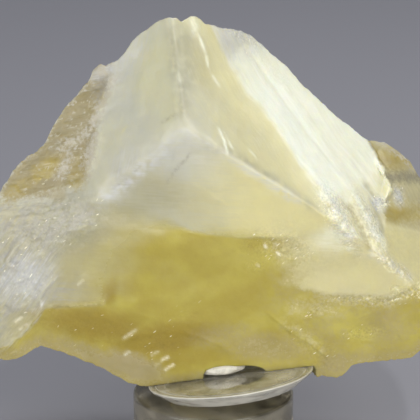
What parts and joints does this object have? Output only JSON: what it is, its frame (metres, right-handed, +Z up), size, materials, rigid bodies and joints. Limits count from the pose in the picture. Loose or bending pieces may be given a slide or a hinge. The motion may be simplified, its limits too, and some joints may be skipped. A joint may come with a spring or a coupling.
{
  "type": "angel wing calcite specimen",
  "caption": "Ridged, peaked piece of pale yellow calcite with a satin wing face, leaning back on a small clear round display stand",
  "frame": {"origin": "the centre of the stand's underside", "axes": "+Z up from the surface it stands on, +X along the specimen's longest side, towards its satin wing, -Y the way its front looks"},
  "size_m": [0.1108, 0.0513, 0.1055],
  "materials": {
    "calcite": "translucent milky white to honey yellow, satin on the cleavage faces and frosted on the broken ones",
    "mineral_tack": "matte white putty",
    "stand_dish": "clear polished acrylic",
    "stand_riser": "clear polished acrylic"
  },
  "bodies": {
    "root": {"calcite": "calcite", "mineral_tack": "mineral_tack", "stand_dish": "stand_dish", "stand_riser": "stand_riser"}
  },
  "joints": []
}
